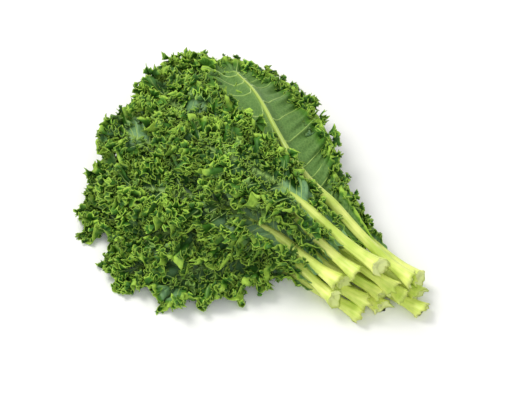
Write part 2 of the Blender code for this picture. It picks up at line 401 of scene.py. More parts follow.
def blade_side(spine, places, sideways, reach, side, heights, above, rib_lift):
    """Grid of one half of a blade, with the measures that its folds need."""
    margin = rounded_margin(spine, sideways, reach, side)
    margin, _ = resampled(np.column_stack([margin[:, :2], np.zeros(len(margin)), margin[:, 3]]), AROUND + 1)
    steps = np.linalg.norm(np.diff(margin[:, :2], axis=0), axis=1)
    to_tip = np.concatenate([np.cumsum(steps[::-1])[::-1], [0]])
    share = np.linspace(0, 1, AROUND + 1)
    at_row = np.interp(margin[:, 3], np.arange(len(places)), places)
    half = np.interp(at_row, places, reach)
    fan = TIP_FAN * np.clip((share - 0.75) / 0.25, 0, 1) ** 2
    start = np.maximum(at_row - LEAN * half - fan, 0.2 * at_row)
    start = eased(np.maximum.accumulate(start)[:, None], 6.0)[:, 0].clip(0)
    origin = np.stack([np.interp(start, places, spine[:, k]) for k in range(4)], 1)
    out = 1 - (1 - np.linspace(0, 1, OUTWARD + 1)) ** OUTWARD_CROWDING
    flat = origin[:, None, :2] + (margin[:, None, :2] - origin[:, None, :2]) * out[None, :, None]
    span = np.linalg.norm(margin[:, :2] - origin[:, :2], axis=1)
    height, free = draped(origin, flat, heights, above)
    height = height + CUP * out[None, :] ** 2 * free
    from_rib = out[None, :] * span[:, None] * 0.75
    radius = np.interp(start, places, spine[:, 3])
    hold = np.exp(-((from_rib / RIB_HOLD) ** 2))
    rib = (origin[:, 2] + np.interp(start / places[-1], (0, 0.45, 1), rib_lift) * radius)[:, None]
    height = height * (1 - hold) + rib * hold
    along = side * to_tip[:, None] + 0 * out[None, :]
    room = np.clip(span / FULL_ROOM, 0.22, 1.0)[:, None] * (0.45 + 0.55 * free)
    outs = out[None, :] + 0 * share[:, None]
    length = (start / places[-1])[:, None] + 0 * out[None, :]
    return np.dstack([flat, height]), along, outs, room, from_rib, free, length


print("half a blade has", AROUND, "by", OUTWARD, "quads")


# %% [markdown]
# ## Growing the folds
#
# The folds follow one rule at three sizes: a wave along the margin, stronger towards it, pushes the
# blade along its own normal. Each size works on the surface that the one before left, which is how a
# curl comes to lie on the side of a fold. Geometry Nodes suit this well, because the normal is taken
# afresh after every push. A little noise in where each wave falls keeps it from looking machined.


# %% One size of fold, as a node group
def fold_group():
    tree = bpy.data.node_groups.new("fold", "GeometryNodeTree")
    face = tree.interface
    face.new_socket("Geometry", in_out="INPUT", socket_type="NodeSocketGeometry")
    for name in ("Length", "Height", "Begins", "Wander", "Seed"):
        face.new_socket(name, in_out="INPUT", socket_type="NodeSocketFloat")
    face.new_socket("Geometry", in_out="OUTPUT", socket_type="NodeSocketGeometry")
    given = add(tree, "NodeGroupInput").outputs
    maths = "ShaderNodeMath"
    named = {
        key: add(tree, "GeometryNodeInputNamedAttribute", {"data_type": "FLOAT"}, Name=key).outputs[0]
        for key in ("along", "out", "room")
    }
    turns = add(tree, maths, {"operation": "DIVIDE"}, i0=named["along"], i1=given["Length"]).outputs[0]
    slow = add(tree, maths, {"operation": "MULTIPLY"}, i0=turns, i1=0.45).outputs[0]
    across = add(tree, maths, {"operation": "MULTIPLY"}, i0=named["out"], i1=1.6).outputs[0]
    place = add(tree, "ShaderNodeCombineXYZ", X=slow, Y=across, Z=given["Seed"]).outputs[0]
    noise = add(tree, "ShaderNodeTexNoise", Vector=place, Scale=1.0, Detail=1.0)
    centred = add(tree, maths, {"operation": "SUBTRACT"}, i0=noise.outputs[0], i1=0.5).outputs[0]
    strayed = add(tree, maths, {"operation": "MULTIPLY_ADD"}, i0=centred, i1=given["Wander"], i2=turns)
    angle = add(tree, maths, {"operation": "MULTIPLY"}, i0=strayed.outputs[0], i1=2 * math.pi).outputs[0]
    wave = add(tree, maths, {"operation": "SINE"}, i0=angle).outputs[0]
    elsewhere = add(tree, maths, {"operation": "ADD"}, i0=given["Seed"], i1=31.7).outputs[0]
    other = add(tree, "ShaderNodeCombineXYZ", X=slow, Y=across, Z=elsewhere).outputs[0]
    uneven = add(tree, "ShaderNodeTexNoise", Vector=other, Scale=1.0, Detail=0.0).outputs[0]
    strength = add(tree, "ShaderNodeMapRange", Value=uneven, i1=0.3, i2=0.7, i3=0.55, i4=1.25).outputs[0]
    growing = add(
        tree, "ShaderNodeMapRange", {"interpolation_type": "SMOOTHSTEP"}, Value=named["out"],
        i1=given["Begins"],
    ).outputs[0]
    size = given["Height"]
    for factor in (wave, strength, growing, named["room"]):
        size = add(tree, maths, {"operation": "MULTIPLY"}, i0=size, i1=factor).outputs[0]
    normal = add(tree, "GeometryNodeInputNormal").outputs[0]
    push = add(tree, "ShaderNodeVectorMath", {"operation": "SCALE"}, i0=normal, Scale=size).outputs[0]
    moved = add(tree, "GeometryNodeSetPosition", Geometry=given["Geometry"], Offset=push).outputs[0]
    add(tree, "NodeGroupOutput", i0=moved)
    return tree


FOLD = fold_group()
print("the fold group has", len(FOLD.nodes), "nodes")

# %% [markdown]
# ## The curled lobes
#
# A kale blade is cut into many small lobes, and each lobe is a fan whose rim has outgrown it, so it
# stands up ruffled like a carnation petal. There are hundreds on a leaf. A few petals are shaped here
# once, each with its own ruffle and a toothed rim. The tree sets them out over the folded blade, and
# bends each one a little differently after it is placed.

# %% Shape the petals that the tree sets out
PETALS = 5
RIM_STEPS, RISE_STEPS = 24, 2


def petal(number):
    """A ruffled fan one unit tall, standing on the origin."""
    chance = np.random.default_rng(number + 40)
    first, second, third = chance.uniform(0, 2 * math.pi, 3)
    turn = np.linspace(-1, 1, RIM_STEPS + 1)
    rise = np.linspace(0.1, 1, RISE_STEPS + 1) ** 0.8
    angle = turn * chance.uniform(1.35, 1.75)
    rim = 0.86 + 0.1 * np.cos(2.6 * math.pi * turn + third) + chance.uniform(-0.07, 0.07, len(turn))
    far = rise[:, None] * (1 + (rim - 1)[None, :] * rise[:, None] ** 2)
    ruffle = 0.32 * np.sin(2.9 * math.pi * turn + first) * rise[:, None] ** 1.4
    ruffle = ruffle + 0.21 * np.sin(6.9 * math.pi * turn + second) * rise[:, None] ** 3
    lean = 0.3 * rise[:, None] ** 2
    x = far * np.sin(angle) * 0.95 + 0.12 * np.cos(6.9 * math.pi * turn + second) * rise[:, None] ** 3
    z = far * (0.3 + 0.7 * np.cos(angle))
    points = np.stack([x, ruffle + lean, z], -1).reshape(-1, 3)
    index = np.arange(len(points)).reshape(RISE_STEPS + 1, -1)
    faces = np.stack([index[:-1, :-1], index[:-1, 1:], index[1:, 1:], index[1:, :-1]], -1).reshape(-1, 4)
    mesh = bpy.data.meshes.new("petal")
    mesh.from_pydata(points.tolist(), [], faces.tolist())
    # The out measure also sets the petal's colour: darker at its foot, partly with painted shade, and
    # brighter at its rim, partly with painted light shining through it.
    out = (0.3 + 0.7 * (rise**1.5)[:, None] + 0 * turn).astype(np.float32)
    mesh.attributes.new("out", "FLOAT", "POINT").data.foreach_set("value", out.reshape(-1))
    return bpy.data.objects.new("petal_%d" % number, mesh)


petals = bpy.data.collections.new("petals")
for number in range(PETALS):
    petals.objects.link(petal(number))
print(PETALS, "petals of", RIM_STEPS * RISE_STEPS, "faces")

# %% [markdown]
# ## The whole blade as one tree
#
# The tree folds the sheet three times, sets the petals on it, keeps everything off the table, and can
# give the ribs instead of the sheet. Petals are thrown as blue noise, because on a leaf they crowd
# evenly without ever lining up. Where another leaf presses from above they are fewer and smaller.

# %% Name the inputs of the tree
INPUTS = {
    "Fold length": "FLOAT", "Fold height": "FLOAT", "Curl length": "FLOAT", "Curl height": "FLOAT",
    "Frill length": "FLOAT", "Frill height": "FLOAT", "Petal spacing": "FLOAT", "Petal size": "FLOAT",
    "Petal tilt": "FLOAT", "Petal bend": "FLOAT", "Seed": "FLOAT", "Lowest": "FLOAT", "Highest": "FLOAT",
    "Ribs": "BOOLEAN", "Petals": "COLLECTION", "Finish": "MATERIAL",
}
SOCKET = {
    "FLOAT": "NodeSocketFloat", "BOOLEAN": "NodeSocketBool", "MATERIAL": "NodeSocketMaterial",
    "COLLECTION": "NodeSocketCollection",
}
print("tree inputs:", ", ".join(INPUTS))


def by_name(tree, name, kind="FLOAT"):
    return add(tree, "GeometryNodeInputNamedAttribute", {"data_type": kind}, Name=name).outputs[0]


def times(tree, *values):
    """The product of several values."""
    result = values[0]
    for value in values[1:]:
        result = add(tree, "ShaderNodeMath", {"operation": "MULTIPLY"}, i0=result, i1=value).outputs[0]
    return result


# %% Set the petals on the sheet
CLUMP = 24.0
CLUMP_FULLNESS = (0.65, 1.2)
CLUMP_SHADE = (0.62, 1.12)
HEAD_FADE = 22.0
BEND_SIZE = 8.0
MOST_POINTS = 90000.0


def petal_facing(tree, given, normal_facing):
    """Each petal leans off the sheet's normal by chance, and is turned about it by chance."""
    less = add(tree, "ShaderNodeMath", {"operation": "MULTIPLY"}, i0=given["Petal tilt"], i1=-1.0).outputs[0]
    least = add(tree, "ShaderNodeCombineXYZ", X=less, Y=-0.4, Z=-3.15).outputs[0]
    most = add(tree, "ShaderNodeCombineXYZ", X=given["Petal tilt"], Y=0.4, Z=3.15).outputs[0]
    chance = add(tree, "FunctionNodeRandomValue", {"data_type": "FLOAT_VECTOR"}, i0=least, i1=most, Seed=3)
    turn = add(tree, "FunctionNodeEulerToRotation", Euler=chance.outputs[0]).outputs[0]
    return add(
        tree, "FunctionNodeRotateRotation", {"rotation_space": "LOCAL"},
        Rotation=normal_facing, Rotate_By=turn,
    ).outputs[0]


def clumped(tree, where, least, most):
    """A value that drifts between two others over the size of one clump of frills."""
    clump = add(tree, "ShaderNodeTexNoise", Vector=where, Scale=1 / (CLUMP * MM), Detail=1.0).outputs[0]
    return add(tree, "ShaderNodeMapRange", Value=clump, i1=0.36, i2=0.62, i3=least, i4=most).outputs[0]


def petal_size(tree, given, where):
    """Uneven, fuller in some clumps than in others, and smaller close to the top of the heap."""
    height = add(tree, "ShaderNodeSeparateXYZ", Vector=where).outputs[2]
    below = add(tree, "ShaderNodeMath", {"operation": "SUBTRACT"}, i0=given["Highest"], i1=height).outputs[0]
    headroom = add(
        tree, "ShaderNodeMapRange", Value=below, i1=0.0, i2=HEAD_FADE * MM, i3=0.3, i4=1.0
    ).outputs[0]
    vary = add(tree, "FunctionNodeRandomValue", {"data_type": "FLOAT"}, i2=0.6, i3=1.2, Seed=7).outputs[1]
    fuller = clumped(tree, where, *CLUMP_FULLNESS)
    return times(tree, given["Petal size"], vary, headroom, fuller, by_name(tree, "petal"))


def set_petals(tree, shape, given):
    """Sets petals on the folded sheet, each with its own turn, size and tint."""
    points = add(
        tree, "GeometryNodeDistributePointsOnFaces", {"distribute_method": "POISSON"}, Mesh=shape,
        Distance_Min=given["Petal spacing"], Density_Max=MOST_POINTS,
        Density_Factor=by_name(tree, "crowd"), Seed=given["Seed"],
    )
    where = add(tree, "GeometryNodeInputPosition").outputs[0]
    kinds = add(
        tree, "GeometryNodeCollectionInfo", Collection=given["Petals"], Separate_Children=True
    ).outputs[0]
    placed = add(
        tree, "GeometryNodeInstanceOnPoints", Points=points.outputs[0], Instance=kinds, Pick_Instance=True,
        Rotation=petal_facing(tree, given, points.outputs[2]), Scale=petal_size(tree, given, where),
    ).outputs[0]
    chance = add(tree, "FunctionNodeRandomValue", {"data_type": "FLOAT"}, i2=0.8, i3=1.2, Seed=11).outputs[1]
    shade = times(tree, chance, clumped(tree, where, *CLUMP_SHADE))
    tinted = add(
        tree, "GeometryNodeStoreNamedAttribute", {"domain": "INSTANCE"}, Geometry=placed, Name="tint",
        Value=shade,
    ).outputs[0]
    real = add(tree, "GeometryNodeRealizeInstances", Geometry=tinted).outputs[0]
    noise = add(
        tree, "ShaderNodeTexNoise", Vector=where, Scale=1 / (BEND_SIZE * MM), Detail=1.0
    ).outputs["Color"]
    centred = add(
        tree, "ShaderNodeVectorMath", {"operation": "SUBTRACT"}, i0=noise, i1=(0.5, 0.5, 0.5)
    ).outputs[0]
    amount = times(tree, given["Petal bend"], by_name(tree, "out"))
    bend = add(tree, "ShaderNodeVectorMath", {"operation": "SCALE"}, i0=centred, Scale=amount).outputs[0]
    return add(tree, "GeometryNodeSetPosition", Geometry=real, Offset=bend).outputs[0]


print("petals gather in clumps of about", CLUMP, "mm")


# %% Join the steps into the tree
RIB_SIDES = 5
FOLDS = (("Fold", 0.0, 0.9, 0.0), ("Curl", 0.1, 1.1, 5.3), ("Frill", 0.25, 1.2, 9.1))


def blade_tree():
    tree = bpy.data.node_groups.new("curly_blade", "GeometryNodeTree")
    tree.interface.new_socket("Geometry", in_out="INPUT", socket_type="NodeSocketGeometry")
    for name, kind in INPUTS.items():
        tree.interface.new_socket(name, in_out="INPUT", socket_type=SOCKET[kind])
    tree.interface.new_socket("Geometry", in_out="OUTPUT", socket_type="NodeSocketGeometry")
    given = add(tree, "NodeGroupInput").outputs
    shape = given["Geometry"]
    for size, begins, wander, shift in FOLDS:
        seed = add(tree, "ShaderNodeMath", {"operation": "ADD"}, i0=given["Seed"], i1=shift).outputs[0]
        shape = add(
            tree, "GeometryNodeGroup", {"node_tree": FOLD}, Geometry=shape, Length=given[size + " length"],
            Height=given[size + " height"], Begins=begins, Wander=wander, Seed=seed,
        ).outputs[0]

    width = by_name(tree, "vein_width")
    veins = by_name(tree, "vein", "BOOLEAN")
    lines = add(tree, "GeometryNodeMeshToCurve", Mesh=shape, Selection=veins).outputs[0]
    round_section = add(
        tree, "GeometryNodeCurvePrimitiveCircle", Resolution=RIB_SIDES, Radius=1.0
    ).outputs[0]
    ribs = add(
        tree, "GeometryNodeCurveToMesh", Curve=lines, Profile_Curve=round_section, Scale=width, Fill_Caps=True
    ).outputs[0]
    petalled = add(tree, "GeometryNodeJoinGeometry")
    for part in (set_petals(tree, shape, given), shape):
        tree.links.new(part, petalled.inputs[0])
    chosen = add(
        tree, "GeometryNodeSwitch", {"input_type": "GEOMETRY"}, Switch=given["Ribs"],
        i1=petalled.outputs[0], i2=ribs,
    ).outputs[0]
    place = add(tree, "GeometryNodeInputPosition").outputs[0]
    apart = add(tree, "ShaderNodeSeparateXYZ", Vector=place).outputs
    raised = add(tree, "ShaderNodeMath", {"operation": "MAXIMUM"}, i0=apart[2], i1=given["Lowest"]).outputs[0]
    kept = add(tree, "ShaderNodeCombineXYZ", X=apart[0], Y=apart[1], Z=raised).outputs[0]
    kept = add(tree, "GeometryNodeSetPosition", Geometry=chosen, Position=kept).outputs[0]
    smooth = add(tree, "GeometryNodeSetShadeSmooth", Geometry=kept).outputs[0]
    real = add(tree, "GeometryNodeRealizeInstances", Geometry=smooth).outputs[0]
    done = add(tree, "GeometryNodeSetMaterial", Geometry=real, Material=given["Finish"]).outputs[0]
    add(tree, "NodeGroupOutput", i0=done)
    return tree


BLADE_TREE = blade_tree()
IDENTIFIER = {s.name: s.identifier for s in BLADE_TREE.interface.items_tree if s.in_out == "INPUT"}
print("the blade tree has", len(BLADE_TREE.nodes), "nodes")

# %% [markdown]
# ## Finishes
#
# A kale blade is deep green with a thin bloom of wax, which makes it a little blue and satin rather
# than glossy. Its frills are thinner and younger towards the margin, so they turn yellow-green, and
# the light that comes through them is painted in as a brighter colour there. The middle of the blade
# is darker, partly its own deep green and partly painted shade of its recesses. The underside is
# paler and duller. The stalk is nearly hairless, pale yellow-green, moist, and finely ridged along its
# length.

# %% Read a measure inside a finish
def shader(material):
    return material.node_tree.nodes["Principled BSDF"]


def measure(tree, name):
    return add(tree, "ShaderNodeAttribute", {"attribute_name": name}).outputs["Fac"]


def blend(tree, share, first, second):
    """A colour between two others."""
    return add(tree, "ShaderNodeMix", {"data_type": "RGBA"}, i0=share, i6=first, i7=second).outputs[2]


def mottle(tree, place, size, detail, output="Fac"):
    """Noise whose patches have this size in millimetres."""
    return add(tree, "ShaderNodeTexNoise", Vector=place, Scale=1 / (size * MM), Detail=detail).outputs[output]


print("measures on a blade: out, bare, tint and vein_colour")

# %% Colour the leaf skin
# Leaf ramps from the middle out to the margin. The deep green in the middle is partly the leaf's own colour
# and partly painted shade of the recesses between the frills. The bright yellow-green at the margin is partly
# young tissue and partly painted light shining through the thin rim.
MARGIN_AND_PAINTED_GLOW, FRILL, BODY, DEEP_AND_PAINTED_SHADE = "#a0c548", "#467a20", "#275216", "#1c4212"
UNDER_DEEP, UNDER_BODY, UNDER_FRILL = "#39601f", "#406922", "#4b7a22"
WAX, UNDER_WAX = "#6c9465", "#587c3c"
VEIN_PALE = "#8db05c"
PATCH, SPOT, WARP = 14.0, 2.5, 7.0
MESH_OF_VEINS = 4.5
RAMP_PLACES = (0.0, 0.45, 0.82, 0.97)


def skin_ramp(tree, place, colours):
    """From the middle of the leaf out to its margin, drifting to and fro in patches: darker in the middle,
    partly with painted shade, and brighter at the margin, partly with painted light shining through it.
    """
    patches = mottle(tree, place, PATCH, 3.0)
    drift = add(tree, "ShaderNodeMapRange", Value=patches, i1=0.3, i2=0.7, i3=-0.12, i4=0.12).outputs[0]
    outward = add(tree, "ShaderNodeMath", {"operation": "ADD"}, i0=measure(tree, "out"), i1=drift).outputs[0]
    ramp = add(tree, "ShaderNodeValToRGB", Fac=outward)
    stops = ramp.color_ramp.elements
    for stop, end in ((stops[0], 0), (stops[1], 3)):
        stop.color = linear(colours[end])
        stop.position = RAMP_PLACES[end]
    for middle in (1, 2):
        stops.new(RAMP_PLACES[middle]).color = linear(colours[middle])
    return ramp.outputs["Color"]


def leaf_colour(tree, place, warped, colours, wax):
    """The ramp, waxed where the leaf is bare, spotted, then veined, with a net of finest veins."""
    spots = mottle(tree, place, SPOT, 3.0)
    value = add(tree, "ShaderNodeMapRange", Value=spots, i1=0.25, i2=0.75, i3=0.86, i4=1.12).outputs[0]
    tint = times(tree, value, measure(tree, "tint"))
    waxed = blend(tree, measure(tree, "bare"), skin_ramp(tree, place, colours), linear(wax))
    shaded = add(tree, "ShaderNodeHueSaturation", Color=waxed, Value=tint).outputs[0]
    veined = blend(tree, measure(tree, "vein_colour"), shaded, linear(VEIN_PALE))
    cells = add(
        tree, "ShaderNodeTexVoronoi", {"feature": "DISTANCE_TO_EDGE"}, Vector=warped,
        Scale=1 / (MESH_OF_VEINS * MM),
    ).outputs["Distance"]
    net = add(tree, "ShaderNodeMapRange", Value=cells, i1=0.0, i2=0.12, i3=0.32, i4=0.0).outputs[0]
    return blend(tree, times(tree, net, measure(tree, "bare")), veined, linear(VEIN_PALE))


print("skin colours from the middle outwards:", DEEP_AND_PAINTED_SHADE, BODY, FRILL, MARGIN_AND_PAINTED_GLOW)


# %% The two sides of a blade
def leaf_finish(name, colours, wax, roughness, coat):
    """Satin leaf skin: colour by how far out it is, puckered between its finest veins."""
    made = bpy.data.materials.new(name)
    made.use_nodes = True
    tree = made.node_tree
    skin = shader(made)
    place = add(tree, "ShaderNodeTexCoord").outputs["Object"]
    stray = mottle(tree, place, WARP, 1.0, "Color")
    shift = add(tree, "ShaderNodeVectorMath", {"operation": "SCALE"}, i0=stray, Scale=2.5 * MM).outputs[0]
    warped = add(tree, "ShaderNodeVectorMath", {"operation": "ADD"}, i0=place, i1=shift).outputs[0]
    tree.links.new(leaf_colour(tree, place, warped, colours, wax), skin.inputs["Base Color"])
    pucker = add(
        tree, "ShaderNodeTexVoronoi", Vector=warped, Scale=1 / (MESH_OF_VEINS * MM)
    ).outputs["Distance"]
    bump = add(tree, "ShaderNodeBump", Height=pucker, Strength=0.4, Distance=0.6 * MM).outputs[0]
    tree.links.new(bump, skin.inputs["Normal"])
    skin.inputs["Roughness"].default_value = roughness
    skin.inputs["IOR"].default_value = 1.45
    skin.inputs["Specular IOR Level"].default_value = 0.28
    skin.inputs["Coat Weight"].default_value = coat
    skin.inputs["Coat Roughness"].default_value = 0.35
    return made


# Waxed upper side: a deep green with a bluish bloom and a soft sheen, darker in the middle, partly with
# painted shade, and going bright at the frills, partly with painted light shining through them.
waxy_upper = leaf_finish("waxy_leaf_upper_side", (DEEP_AND_PAINTED_SHADE, BODY, FRILL, MARGIN_AND_PAINTED_GLOW), WAX, 0.5, 0.06)
# Underside: paler and duller, so a leaf that is turned over reads at once as its back.
dull_under = leaf_finish(
    "dull_leaf_underside", (UNDER_DEEP, UNDER_BODY, UNDER_FRILL, MARGIN_AND_PAINTED_GLOW), UNDER_WAX, 0.62, 0.0
)
print(waxy_upper.name, "and", dull_under.name)


# %% Ribs and stalks
AGED_GREEN, TORN = "#a2be52", "#e2ec9a"
BLOTCH = 22.0


def stalk_finish(name, pale, green):
    """Moist ridged stalk: fine streaks that follow the piece's own lengthwise measure."""
    made = bpy.data.materials.new(name)
    made.use_nodes = True
    tree = made.node_tree
    skin = shader(made)
    place = add(tree, "ShaderNodeTexCoord").outputs["Object"]
    run = add(
        tree, "ShaderNodeCombineXYZ", X=measure(tree, "run"), Y=measure(tree, "round"), Z=0.0
    ).outputs[0]
    streaks = add(tree, "ShaderNodeTexNoise", Vector=run, Scale=1.0, Detail=3.0).outputs["Fac"]
    blotch = mottle(tree, place, BLOTCH, 2.0)
    both = add(
        tree, "ShaderNodeMath", {"operation": "MULTIPLY_ADD"}, i0=streaks, i1=0.7, i2=blotch
    ).outputs[0]
    mixed = add(tree, "ShaderNodeMapRange", Value=both, i1=0.68, i2=1.02).outputs[0]
    colour = blend(tree, mixed, linear(pale), linear(green))
    up = measure(tree, "up")
    higher = add(tree, "ShaderNodeMapRange", Value=up, i1=0.25, i2=0.6, i3=0.0, i4=0.85).outputs[0]
    aged = blend(tree, higher, colour, linear(AGED_GREEN))
    torn = blend(tree, measure(tree, "cut"), aged, linear(TORN))
    tree.links.new(torn, skin.inputs["Base Color"])
    bump = add(tree, "ShaderNodeBump", Height=streaks, Strength=0.55, Distance=0.7 * MM).outputs[0]
    tree.links.new(bump, skin.inputs["Normal"])
    skin.inputs["Roughness"].default_value = 0.42
    skin.inputs["IOR"].default_value = 1.42
    skin.inputs["Coat Weight"].default_value = 0.15
    skin.inputs["Coat Roughness"].default_value = 0.3
    return made


# Moist stalk: pale yellow-green with long soft highlights, broken by its ridges, and a paler torn end.
moist_stalk = stalk_finish("moist_ridged_stalk", "#f0f88a", "#c4dc5c")
# Rib: the same skin where it is thin and greener, so the veins show as light lines on the blade.
green_rib = stalk_finish("pale_green_rib", "#a9c66c", "#8fb257")
print(moist_stalk.name, "and", green_rib.name)

# %% [markdown]
# ## Building every blade
#
# Each leaf gets its own seed and slightly different fold sizes. The lowest leaves are pressed against
# the table, so no fold may pass below it. The sheet is grown first, then given its thickness, with
# the duller underside as its second finish, and its ribs are grown from the same folded sheet.

# %% Decide where petals may stand
TURNED_RIM = 0.66
BARE_PATCHES = 3
PATCH_RADII = (11, 19)
RIB_BARE = 0.4
RIB_MARGIN = 5.0


def crowding(chance, points, out, from_rib, length, turned):
    """How crowded the petals are, from 0 to 1. A leaf that is turned over shows them only at its rim.
    Any other is bare beside its midrib low down, and in a few patches that show the waxy skin."""
    if turned:
        return np.clip((out - TURNED_RIM) / 0.1, 0, 1)
    begins = np.interp(length, (0, 0.12, 0.3, 0.5), (0.3, 0.3, 0.1, -0.2))
    crowd = np.clip((out - begins) / 0.15, 0, 1)
    crowd = np.where(length < RIB_BARE, crowd * np.clip((from_rib - RIB_MARGIN) / 3, 0, 1), crowd)
    rows, columns = out.shape
    for _ in range(BARE_PATCHES):
        row, column = chance.integers(rows), chance.integers(columns)
        apart = np.linalg.norm(points - points[row, column], axis=2) / chance.uniform(*PATCH_RADII)
        crowd = np.where(out < 0.8, crowd * np.clip(apart**2 - 0.4, 0, 1), crowd)
    return crowd


print(BARE_PATCHES, "bare patches on a leaf")

# %% Choose the lines that are veins
VEIN_SPACING = 15.0
TURNED_SPACING = 1.7
VEIN_START, VEIN_END = 1.1, 0.25


def veins(chance, step, out, room, from_rib, turned):
    """The rows that carry a vein, with how thick a vein is and how much of its colour shows."""
    rows = out.shape[0]
    spacing = VEIN_SPACING * (TURNED_SPACING if turned else 1)
    every = np.cumsum(chance.uniform(0.6, 1.4, 400) * spacing / step).astype(int)
    every = every[every < rows - 1]
    apart = np.abs(np.arange(rows)[:, None] - every[None, :]).min(1)[:, None] * step
    thick = VEIN_START + (VEIN_END - VEIN_START) * out**0.8
    thick = thick * np.clip(room, 0.3, 1) * (1.2 if turned else 0.7)
    colour = np.clip(1.3 - apart / (0.9 - 0.5 * out), 0, 1) * (1 - out**2) * 0.8
    colour = np.maximum(colour, np.exp(-((from_rib / 2.0) ** 2)))
    return every, thick, colour


print("veins about", VEIN_SPACING, "mm apart")


# %% Turn a grid of places into a mesh
def grid_mesh(name, points):
    """A mesh of quads over a grid of places in millimetres, and the number of each place."""
    rows, columns = points.shape[:2]
    index = np.arange(rows * columns).reshape(rows, columns)
    faces = np.stack([index[:-1, :-1], index[:-1, 1:], index[1:, 1:], index[1:, :-1]], -1).reshape(-1, 4)
    mesh = bpy.data.meshes.new(name)
    mesh.from_pydata((points.reshape(-1, 3) * MM).tolist(), [], faces.tolist())
    return mesh, index


def store(mesh, fields):
    """Keeps each measure on the mesh's points, where trees and finishes read it by name."""
    for name, values in fields.items():
        layer = mesh.attributes.new(name, "FLOAT", "POINT")
        layer.data.foreach_set("value", np.asarray(values).reshape(-1).astype(np.float32))


def mark_veins(mesh, columns, every):
    """Marks the edges that run out along the chosen rows."""
    ends = np.empty(len(mesh.edges) * 2, np.int32)
    mesh.edges.foreach_get("vertices", ends)
    row_of = ends.reshape(-1, 2) // columns
    layer = mesh.attributes.new("vein", "BOOLEAN", "EDGE")
    layer.data.foreach_set("value", (row_of[:, 0] == row_of[:, 1]) & np.isin(row_of[:, 0], every))


def weld(mesh, numbers):
    """Joins the points among these that lie on each other."""
    work = bmesh.new()
    work.from_mesh(mesh)
    work.verts.ensure_lookup_table()
    bmesh.ops.remove_doubles(work, verts=[work.verts[k] for k in numbers], dist=0.02 * MM)
    work.to_mesh(mesh)
    work.free()


print("a sheet has", (AROUND + 1) * (2 * OUTWARD + 1), "points")

# %% Make a sheet with its measures
TURNED_LIFT = (-0.5, -0.5, -0.5)
RIB_LIFT = (0.0, 0.9, 1.1)


def sheet(leaf, number):
    heights, above = plate(leaf), cover(leaf)
    spine, places, sideways, reaches = blade_outline(stalk_line(leaf), heights)
    turned = leaf == TURNED
    lift = TURNED_LIFT if turned else RIB_LIFT
    left, right = (
        blade_side(spine, places, sideways, r, s, heights, above, lift) for s, r in zip((-1, 1), reaches)
    )
    # One grid across the leaf: the left margin, inwards to the midrib, and out to the right margin.
    halves = [np.concatenate([a[:, ::-1], b[:, 1:]], axis=1) for a, b in zip(left, right)]
    points, along, out, room, from_rib, free, length = halves
    mesh, index = grid_mesh(leaf + "_sheet", points)
    if (np.mean([p.normal.z for p in mesh.polygons]) < 0) != turned:
        mesh.flip_normals()

    chance = np.random.default_rng(number + 7)
    crowd = crowding(chance, points, out, from_rib, length, turned) * (0.05 + 0.95 * free**2)
    step = np.abs(along[0, 0] - along[1, 0])
    every, thick, vein_colour = veins(chance, step, out, room, from_rib, turned)
    store(mesh, {
        "along": along, "out": out, "room": room, "vein_width": thick * MM, "vein_colour": vein_colour,
        "crowd": crowd, "petal": (0.5 + 0.5 * free) * np.clip(0.5 + 0.75 * room, 0, 1),
        "bare": 1 - np.clip(crowd, 0, 1), "tint": np.full(out.shape, chance.uniform(0.92, 1.08)),
    })
    mark_veins(mesh, out.shape[1], every)
    weld(mesh, index[-1])
    return mesh


print("sheets are measured for", len(LEAVES), "leaves")


# %% Keep what a tree has grown
def evaluated(obj):
    """The object's mesh with its modifiers applied, as a mesh of its own."""
    bpy.context.view_layer.update()
    return bpy.data.meshes.new_from_object(obj.evaluated_get(bpy.context.evaluated_depsgraph_get()))


for shape in petals.objects:
    shape.data.materials.append(waxy_upper)
    shape.data.materials.append(dull_under)
print("petals wear", waxy_upper.name, "over", dull_under.name)

# %% Grow and thicken a sheet
THICK = 0.5
SIZES = {
    "Fold length": 36.0, "Fold height": 10.0, "Curl length": 13.0, "Curl height": 4.6,
    "Frill length": 6.0, "Frill height": 1.6,
}
TURNED_SIZES = {"Fold height": 4.5, "Curl height": 2.4, "Frill height": 0.8}
PETAL_SIZES = {"Petal spacing": 6.9, "Petal size": 8.7, "Petal bend": 3.6, "Lowest": 0.5}
PETAL_TILT, TURNED_TILT = 0.75, 3.1
HEADROOM = 9.0


def sizes(leaf, number):
    """The tree's inputs for one leaf. Lengths of folds stay in millimetres, as the measure along the
    margin is, and the others are turned into metres."""
    values = {k: v * (MM if "height" in k else 1.0) for k, v in SIZES.items()}
    values["Fold length"] *= 0.85 + 0.3 * ((number * 5) % 7) / 6
    if leaf == TURNED:
        values.update({k: v * MM for k, v in TURNED_SIZES.items()})
    values.update({k: v * MM for k, v in PETAL_SIZES.items()})
    values["Petal size"] *= 0.85 + 0.35 * number / len(LEAVES)
    values["Petal tilt"] = TURNED_TILT if leaf == TURNED else PETAL_TILT
    values["Seed"] = number * 3.37
    values["Highest"] = cad_high[2] + HEADROOM * MM
    return values


def grow(leaf, number, mesh, ribs):
    """The sheet or the ribs of one blade as a plain mesh."""
    made = bpy.data.objects.new(leaf + "_sheet", mesh)
    bpy.context.scene.collection.objects.link(made)
    growth = made.modifiers.new("growth", "NODES")
    growth.node_group = BLADE_TREE
    finish = green_rib if ribs else waxy_upper
    values = {**sizes(leaf, number), "Ribs": ribs, "Petals": petals, "Finish": finish}
    for name, value in values.items():
        growth[IDENTIFIER[name]] = value
    if not ribs:
        thickness = made.modifiers.new("thickness", "SOLIDIFY")
        thickness.thickness = THICK * MM
        thickness.offset = 0.0
        thickness.material_offset = 1
        mesh.materials.append(waxy_upper)
        mesh.materials.append(dull_under)
    result = evaluated(made)
    bpy.data.objects.remove(made)
    return result


